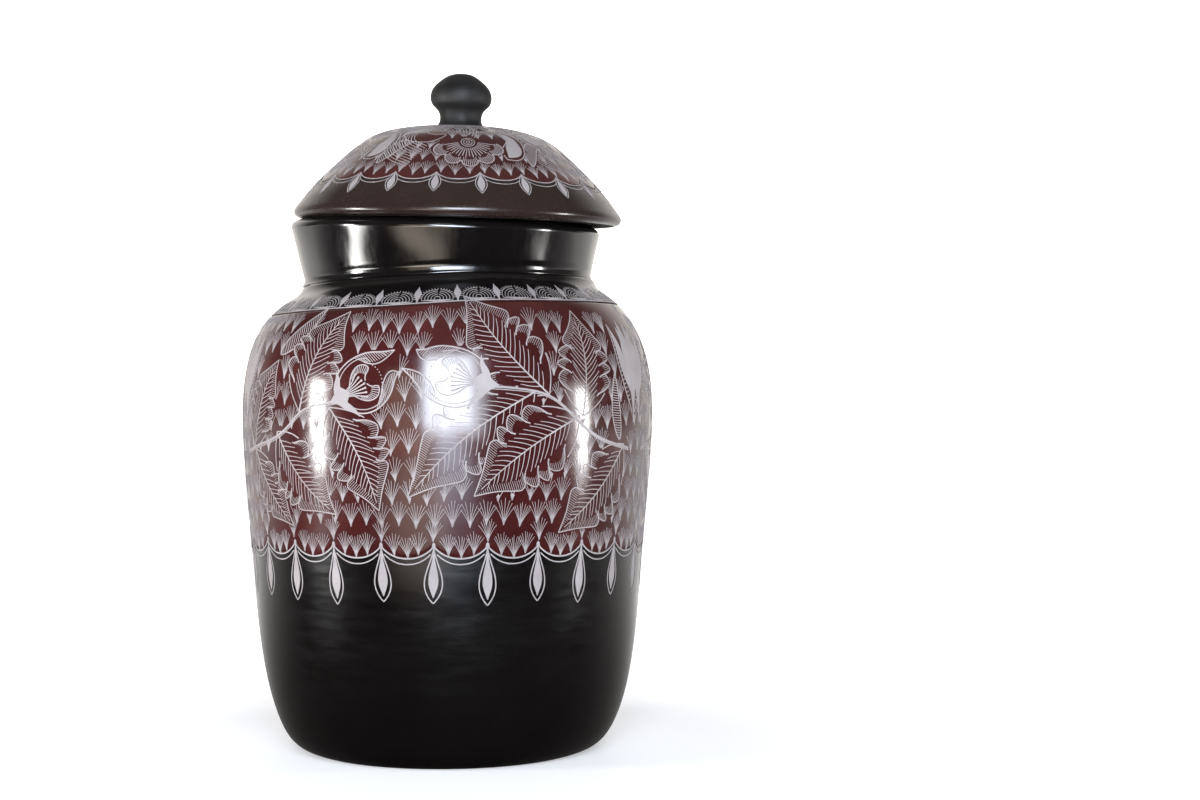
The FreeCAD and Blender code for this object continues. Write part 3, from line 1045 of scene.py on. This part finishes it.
LID_TUFT_RINGS = (
    (LID_BORDER_ARC + 0.5, 3 * LID_SCALLOPS), (99.0, 60), (86.5, 54), (74.0, 46), (62.0, 38), (50.0, 30))


def lid_crown(drawing):
    """Five repeats of a rosette, solid commas, combed swirls and a feather, in a field of fans."""
    drawing.to("engraved_lid_crown", SLIP_THICKNESS + INK)
    for repeat in range(5):
        turn = 72.0 * repeat + 10.0
        rosette(drawing, on_disc(turn - 2, 79.0), turn - 90)
        for degrees, distance, heading, size in ((17, 95.0, 74, 26.0), (33, 66.0, 12, 24.0), (-27, 62.0, 148, 18.0)):
            paisley(drawing, on_disc(turn + degrees, distance), turn + heading, size)
        feather(drawing, on_disc(turn + 27, 103.0), on_disc(turn + 47, 72.0), 5.2, 0.10)
        swirl(drawing, on_disc(turn - 25, 70.0), turn + 30, 11, 10.0, 2.2)
        swirl(drawing, on_disc(turn + 20, 48.0), turn - 30, 8, 6.0, 2.2)
    for ring, (distance, count) in enumerate(LID_TUFT_RINGS):
        for index in range(count):
            degrees = (index + 0.5 * (ring % 2) + 0.35) * 360.0 / count + jitter(0.5)
            if ring == 0:
                from_cusp = abs(2 * ((degrees * LID_SCALLOPS / 360 + 0.3) % 1.0) - 1)
                rise = 4.0 * (1 - from_cusp) - 1.5
            else:
                rise = jitter(0.8)
            x, y = on_disc(degrees, distance + rise)
            tuft(drawing, x, y, 12.5 + jitter(0.7), -math.radians(degrees))


LID_SHEET = 140.0             # half the side of the lid's drawing


def lid_engraving():
    drawing = Drawing(on_lid, (-LID_SHEET, -LID_SHEET), (LID_SHEET, LID_SHEET), wraps=False)
    lid_crown(drawing)
    lid_border(drawing)
    return drawing.pieces(ENGRAVED)


# ---- finishes ---------------------------------------------------------------
MIX_A, MIX_B, MIX_COLOUR = 6, 7, 2     # a Mix node's sockets for colours


class Nodes:
    """A tree of shader nodes under construction."""

    def __init__(self, tree):
        self.tree = tree

    def put(self, value, socket):
        """Sets a socket, or links it when the value is another node's output."""
        if isinstance(value, bpy.types.NodeSocket):
            self.tree.links.new(value, socket)
        elif socket.type == "RGBA" and isinstance(value, tuple):
            socket.default_value = (*value, 1.0)
        else:
            socket.default_value = value

    def node(self, kind, inputs, **settings):
        made = self.tree.nodes.new("ShaderNode" + kind)
        for name, value in settings.items():
            setattr(made, name, value)
        for key, value in inputs.items():
            self.put(value, made.inputs[key])
        return made.outputs

    def range(self, source, low, high, start=0.3, end=0.7, **settings):
        limits = {"From Min": start, "From Max": end, "To Min": low, "To Max": high}
        return self.node("MapRange", {**limits, "Value": source}, **settings)["Result"]

    def math(self, operation, a, b=0.5):
        return self.node("Math", {0: a, 1: b}, operation=operation)["Value"]

    def mix(self, share, a, b):
        return self.node("Mix", {0: share, MIX_A: a, MIX_B: b}, data_type="RGBA")[MIX_COLOUR]


class Finish(Nodes):
    """A material under construction."""

    def __init__(self, name):
        self.material = bpy.data.materials.new(name)
        self.material.use_nodes = True
        super().__init__(self.material.node_tree)
        self.shader = self.tree.nodes["Principled BSDF"]
        self.place = self.tree.nodes.new("ShaderNodeTexCoord").outputs["Object"]

    def stretched(self, scale, turn=(0, 0, 0)):
        return self.node("Mapping", {"Scale": scale, "Rotation": turn, "Vector": self.place})["Vector"]

    def noise(self, scale, detail=3.0, rough=0.55, vector=None):
        inputs = {"Scale": scale, "Detail": detail, "Roughness": rough, "Vector": vector or self.place}
        return self.node("TexNoise", inputs)["Fac"]

    def ramp(self, source, stops):
        result = self.node("ValToRGB", {"Fac": source})["Color"]
        band = result.node.color_ramp
        for index, (at, colour) in enumerate(stops):
            stop = band.elements[index] if index < 2 else band.elements.new(at)
            stop.position = at
            stop.color = (*colour, 1.0)
        return result

    def over(self, tone, source, share, colour, start=0.3, end=0.7):
        """A tone with up to a share of another colour laid over it, where the source is high."""
        return self.mix(self.range(source, 0.0, share, start, end), tone, colour)

    def bump(self, height, strength, distance, before=None):
        inputs = {"Strength": strength, "Distance": distance, "Height": height}
        if before is not None:
            inputs["Normal"] = before
        return self.node("Bump", inputs)["Normal"]

    def done(self, tone, gloss, normal, **values):
        """Joins the tone, roughness and normal to the shader, sets its other values and gives the material."""
        inputs = {"Base Color": tone, "Roughness": gloss, "Normal": normal}
        inputs.update({name.replace("_", " "): value for name, value in values.items()})
        for name, value in inputs.items():
            self.put(value, self.shader.inputs[name])
        return self.material


def burnished(name, dark, light, rough_low, rough_high, strokes, specular=0.62, coat_weight=0.35):
    """Clay polished with a stone: streaks of gloss, faint tool marks, dust and a few fine scratches."""
    f = Finish(name)
    clouds = f.noise(9.0, 4.0)
    streaks = f.noise(1.0, 4.0, 0.6, f.stretched(strokes))
    fine = f.noise(1.0, 2.0, 0.5, f.stretched(tuple(3.1 * s for s in strokes), (0.1, 0.2, 0.0)))
    specks = f.noise(900.0, 2.0)
    tone = f.over(dark, clouds, 1.0, light)
    tone = f.over(tone, streaks, 0.45, light, 0.35, 0.75)
    tone = f.over(tone, specks, 0.5, tuple(2.0 * c + 0.003 for c in light), 0.66, 0.78)
    gloss = f.math("ADD", f.range(streaks, rough_low, rough_high), f.range(fine, 0.0, 0.07))
    gloss = f.math("ADD", gloss, f.range(clouds, 0.0, 0.05))
    normal = f.bump(fine, 0.03, 0.0002, f.bump(streaks, 0.03, 0.0004))
    return f.done(tone, gloss, normal, Specular_IOR_Level=specular, Coat_Weight=coat_weight, Coat_Roughness=0.07)


def red_slip():
    """Red-brown slip over black clay: thin and dark in places, polished with the rest."""
    f = Finish("red_slip")
    clouds = f.noise(14.0, 5.0, 0.62)
    streaks = f.noise(1.0, 4.0, 0.6, f.stretched((26.0, 26.0, 110.0), (0.15, 0.1, 0.0)))
    grain = f.noise(520.0, 3.0, 0.6)
    tone = f.ramp(clouds, (
        (0.30, (0.022, 0.0036, 0.0037)), (0.72, (0.060, 0.0125, 0.0108)), (0.52, (0.037, 0.0064, 0.0062))))
    tone = f.over(tone, streaks, 0.5, (0.028, 0.0044, 0.0046))
    tone = f.over(tone, grain, 0.2, (0.080, 0.027, 0.021), 0.5, 0.8)
    gloss = f.math("ADD", f.range(streaks, 0.10, 0.155), f.range(grain, 0.0, 0.04))
    normal = f.bump(grain, 0.04, 0.0002, f.bump(streaks, 0.04, 0.0004))
    return f.done(tone, gloss, normal, Specular_IOR_Level=0.55, Coat_Weight=0.35, Coat_Roughness=0.11)


def engraved_clay():
    """Clay laid bare by the graver: pale, dry and slightly uneven."""
    f = Finish("engraved_clay")
    grain = f.noise(1500.0, 3.0, 0.7)
    tone = f.over((0.212, 0.187, 0.184), f.noise(40.0, 4.0), 1.0, (0.285, 0.255, 0.252))
    tone = f.over(tone, grain, 0.55, (0.15, 0.138, 0.142), 0.5, 0.75)
    return f.done(tone, f.range(grain, 0.45, 0.68), f.bump(grain, 0.3, 0.0002), Specular_IOR_Level=0.35)


def raw_clay():
    """The unburnished inside: smoky grey, matt, with grit and drag marks."""
    f = Finish("raw_clay")
    drag = f.noise(1.0, 4.0, 0.6, f.stretched((20.0, 20.0, 260.0)))
    grit = f.noise(700.0, 3.0, 0.7)
    tone = f.ramp(f.noise(11.0, 5.0), ((0.3, (0.016, 0.015, 0.0145)), (0.75, (0.05, 0.046, 0.044))))
    tone = f.over(tone, drag, 0.5, (0.03, 0.027, 0.026))
    tone = f.over(tone, grit, 0.6, (0.11, 0.10, 0.095), 0.6, 0.8)
    normal = f.bump(grit, 0.45, 0.0004, f.bump(drag, 0.4, 0.0008))
    return f.done(tone, f.range(grit, 0.62, 0.85), normal, Specular_IOR_Level=0.3)


def knob_clay():
    """Matt charcoal black, a little smoother in patches, as if rubbed by hands."""
    f = Finish("knob_clay")
    clouds = f.noise(60.0, 4.0)
    grain = f.noise(1100.0, 3.0, 0.65)
    tone = f.over((0.004, 0.0037, 0.0036), clouds, 1.0, (0.010, 0.0093, 0.009))
    tone = f.over(tone, grain, 0.5, (0.022, 0.0205, 0.0195), 0.55, 0.8)
    gloss = f.math("ADD", f.range(clouds, 0.48, 0.62), f.range(grain, 0.0, 0.1))
    normal = f.bump(grain, 0.3, 0.0003, f.bump(clouds, 0.3, 0.001))
    return f.done(tone, gloss, normal, Specular_IOR_Level=0.3)


# Glowing patches painted on the floor, in metres: painted light that only reflections see. Each edge: axis,
# value before it, where it starts and ends.
FLOOR_BOARD_PAINTED_GLOW = ("Y", 1.0, -0.90, -0.66), ("X", 0.0, -0.62, -0.40), ("X", 1.0, -0.02, 0.12)
FLOOR_PANE_PAINTED_GLOW = ("Y", 1.0, -1.5, -0.85), ("X", 0.0, -0.16, 0.02), ("X", 1.0, 0.28, 0.50)
STEEP_PAINTED_GLOWS = (
    ((("X", 1.0, -0.86, -0.74), ("Y", 0.0, -0.66, -0.58), ("Y", 1.0, -0.32, -0.26)), (22.0, 21.7, 21.0)),
    ((("X", 0.0, 1.02, 1.14), ("Y", 0.0, -0.40, -0.32), ("Y", 1.0, -0.18, -0.10)), (12.0, 11.8, 11.4)),
)


def floor_paper():
    """The pale seamless floor. The camera sees it lit, and glowing too, less near the pot; glossy surfaces see it
    dim, with bright glowing patches painted on it: painted light and painted reflections standing in for windows and
    a board.

    Layer Weight keeps STEEP_PAINTED_GLOWS, and a brighter layer of the board's painted glow, to steep reflections. On
    this object those are the collar's.
    """
    f = Finish("floor_paper")
    grain = f.noise(420.0, 2.0)
    tone = f.over((0.78, 0.785, 0.81), f.noise(1.3, 3.0), 1.0, (0.82, 0.82, 0.835))
    rays = f.node("LightPath", {})
    axes = f.node("SeparateXYZ", {0: f.place})
    away = f.node("VectorMath", {0: f.place}, operation="LENGTH")["Value"]
    glow = f.math("MULTIPLY", rays["Is Camera Ray"], f.range(away, 0.34, 0.95, 0.22, 0.70))
    f.done(
        tone, f.range(grain, 0.55, 0.65), f.bump(grain, 0.08, 0.0003),
        Specular_IOR_Level=0.25, Emission_Color=(1.0, 1.0, 1.0), Emission_Strength=glow)

    def patch(*edges):
        """1 inside three soft edges and 0 outside; an edge is its axis, value before it, start and end."""
        first, second, third = (f.range(axes[axis], before, 1 - before, *ends) for axis, before, *ends in edges)
        return f.math("MULTIPLY", f.math("MULTIPLY", first, second), third)

    # the board's patch: a painted warm glow, seen only in reflections
    board_painted_glow = patch(*FLOOR_BOARD_PAINTED_GLOW)
    steep = f.range(f.node("LayerWeight", {"Blend": 0.5})["Facing"], 1.0, 0.0, 0.70, 0.79)
    seen = f.ramp(f.range(axes["Y"], 0.0, 1.0, -0.1, 0.9), ((0.0, (0.012, 0.011, 0.010)), (1.0, (0.92, 0.9, 0.88))))
    seen = f.mix(board_painted_glow, seen, (1.5, 1.3, 1.12))
    seen = f.mix(f.math("MULTIPLY", board_painted_glow, steep), seen, (7.0, 6.0, 5.0))
    # painted highlights for the collar: bright patches that only steep reflections see
    for edges, colour in STEEP_PAINTED_GLOWS:
        seen = f.mix(f.math("MULTIPLY", patch(*edges), steep), seen, colour)
    # a painted reflection of a bluish window pane, glowing on the floor
    seen = f.mix(patch(*FLOOR_PANE_PAINTED_GLOW), seen, (4.6, 5.4, 6.6))
    dim = f.node("Emission", {"Color": seen})
    either = f.node("MixShader", {"Fac": rays["Is Glossy Ray"], 1: f.shader.outputs[0], 2: dim[0]})
    f.put(either[0], f.tree.nodes["Material Output"].inputs["Surface"])
    return f.material


# ---- floor, light and camera ------------------------------------------------
CAMERA_AT = (0.1119, -1.587, 0.2567)
CAMERA_LENS = 64.26
SENSOR_WIDTH = 36.0
FLOOR_REACH = 7.0


def stage_floor(finish):
    """A flat floor, finely divided near the pot so that its edge is far out of sight."""
    steps = np.concatenate([-np.geomspace(FLOOR_REACH, 0.3, 12), np.geomspace(0.3, FLOOR_REACH, 12)]) / MM
    x, y = np.meshgrid(steps, steps)
    points = np.stack([x.ravel(), y.ravel(), np.zeros(x.size)], 1)
    count = len(steps)
    corners = [row * count + column for row in range(count - 1) for column in range(count - 1)]
    faces = [(a, a + 1, a + count + 1, a + count) for a in corners]
    make_object("studio_floor", points, faces, [finish])


def surroundings():
    """White paper behind the pot, a pale ceiling, and a dim room in front and at the sides."""
    world = bpy.data.worlds.new("studio")
    bpy.context.scene.world = world
    world.use_nodes = True
    sky = Nodes(world.node_tree)
    axes = sky.node("SeparateXYZ", {0: sky.node("TexCoord", {})["Generated"]})
    smoothly = {"interpolation_type": "SMOOTHSTEP"}
    total = 0.03
    for part in (
        sky.range(axes["Y"], 0.0, 1.05, 0.40, 0.86, **smoothly),
        sky.range(axes["Z"], 0.0, 0.16, 0.55, 0.98, **smoothly),
        sky.range(sky.math("ABSOLUTE", axes["X"]), 0.0, 0.08, 0.55, 1.0, **smoothly),
        sky.node("LightPath", {})["Is Camera Ray"],
    ):
        total = sky.math("ADD", total, part)
    background = world.node_tree.nodes["Background"]
    sky.put(total, background.inputs["Strength"])
    sky.put((1.0, 0.955, 0.905), background.inputs["Color"])


def camera():
    bpy.context.scene.view_settings.view_transform = "Standard"
    data = bpy.data.cameras.new("camera")
    data.lens = CAMERA_LENS
    data.sensor_width = SENSOR_WIDTH
    data.clip_start, data.clip_end = 0.05, 40.0
    eye = bpy.data.objects.new("camera", data)
    eye.location = CAMERA_AT
    eye.rotation_euler = (math.radians(90), 0, 0)
    bpy.context.scene.collection.objects.link(eye)
    bpy.context.scene.camera = eye


def panel(name, azimuth, distance, low, high, width, radiance, colour):
    """An upright light panel facing the pot: azimuth in degrees from the front, heights and sizes in metres."""
    turn, tall = math.radians(azimuth), high - low
    light = bpy.data.lights.new(name, "AREA")
    light.shape = "RECTANGLE"
    light.size, light.size_y = width, tall
    light.energy = radiance * math.pi * (width * tall)
    light.color = colour
    lamp = bpy.data.objects.new(name, light)
    lamp.location = (distance * math.sin(turn), -distance * math.cos(turn), (low + high) / 2)
    ahead = Vector((0, 0, (low + high) / 2)) - Vector(lamp.location)
    lamp.rotation_euler = ahead.to_track_quat("-Z", "Y").to_euler()
    lamp.visible_camera = False
    bpy.context.scene.collection.objects.link(lamp)


PANELS = (    # name, azimuth, distance, bottom, top, width, radiance, colour
    ("window_left", -68.5, 1.55, 0.0, 0.53, 0.20, 62.0, (1.0, 0.99, 0.97)),
    ("window_left_sill", -67.5, 1.65, 0.0, 0.58, 0.42, 3.5, (0.92, 0.95, 1.0)),
    ("window_core", 3.5, 2.7, 0.46, 1.24, 0.46, 12.0, (0.84, 0.91, 1.0)),
    ("window_inner", 3.5, 2.75, 0.12, 1.62, 1.15, 9.5, (0.80, 0.88, 1.0)),
    ("window_outer", 4.5, 2.8, 0.06, 1.80, 1.45, 7.0, (0.78, 0.87, 1.0)),
    ("window_wide", 8.0, 2.9, 0.02, 2.0, 1.60, 5.0, (0.82, 0.89, 1.0)),
    ("window_right", 79.0, 1.55, 0.01, 0.46, 0.18, 38.0, (1.0, 0.99, 0.97)),
    ("window_right_sill", 77.0, 1.65, 0.0, 0.56, 0.42, 2.5, (0.95, 0.96, 1.0)),
    ("warm_board", -19.0, 1.9, 0.0, 0.9, 0.62, 1.3, (1.0, 0.80, 0.58)),
)


# ---- the scene --------------------------------------------------------------
camera()
surroundings()
for row in PANELS:
    panel(*row)
stage_floor(floor_paper())

BLACK = burnished(
    "burnished_black", (0.0017, 0.0014, 0.0013), (0.0032, 0.0025, 0.0023), 0.09, 0.14, (14.0, 14.0, 70.0))
COLLAR_BLACK = burnished(
    "burnished_collar", (0.0016, 0.0013, 0.0013), (0.0032, 0.0025, 0.0024), 0.055, 0.10, (120.0, 120.0, 16.0))
# The lid's black is lighter and browner than the body's: painted light falling on the lid from above.
LID_BLACK_PAINTED_LIGHT = burnished(
    "burnished_lid_painted_light", (0.0105, 0.0058, 0.0048), (0.019, 0.0108, 0.0088), 0.15, 0.24, (40.0, 40.0, 90.0), 0.4, 0.18)
SLIP = red_slip()
ENGRAVED = engraved_clay()
RAW = raw_clay()


def piece(obj, body, material_slot, *nodes):
    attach(obj, body)
    if nodes:
        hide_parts(*nodes)
    return obj


piece(pot_wall(BLACK, RAW), "pot", "burnished_black_clay", "lower_wall", "belly_wall", "shoulder_wall")
piece(floor_disc(RAW), "pot", "matt_black_clay", "base_slab")
piece(collar(COLLAR_BLACK, RAW), "pot", "burnished_black_clay", "neck_collar", "collar_lip")
piece(slip_band(SLIP), "pot", "red_slip", "body_slip")
for engraved in pot_engraving():
    piece(engraved, "pot", "matt_black_clay")
piece(lid_shell(LID_BLACK_PAINTED_LIGHT, RAW), "lid", "burnished_black_clay", "lid_rim", "lid_dome")
piece(lid_slip_crown(SLIP), "lid", "red_slip", "lid_slip")
for engraved in lid_engraving():
    piece(engraved, "lid", "matt_black_clay")
piece(knob(knob_clay()), "lid", "matt_black_clay", "lid_knob")
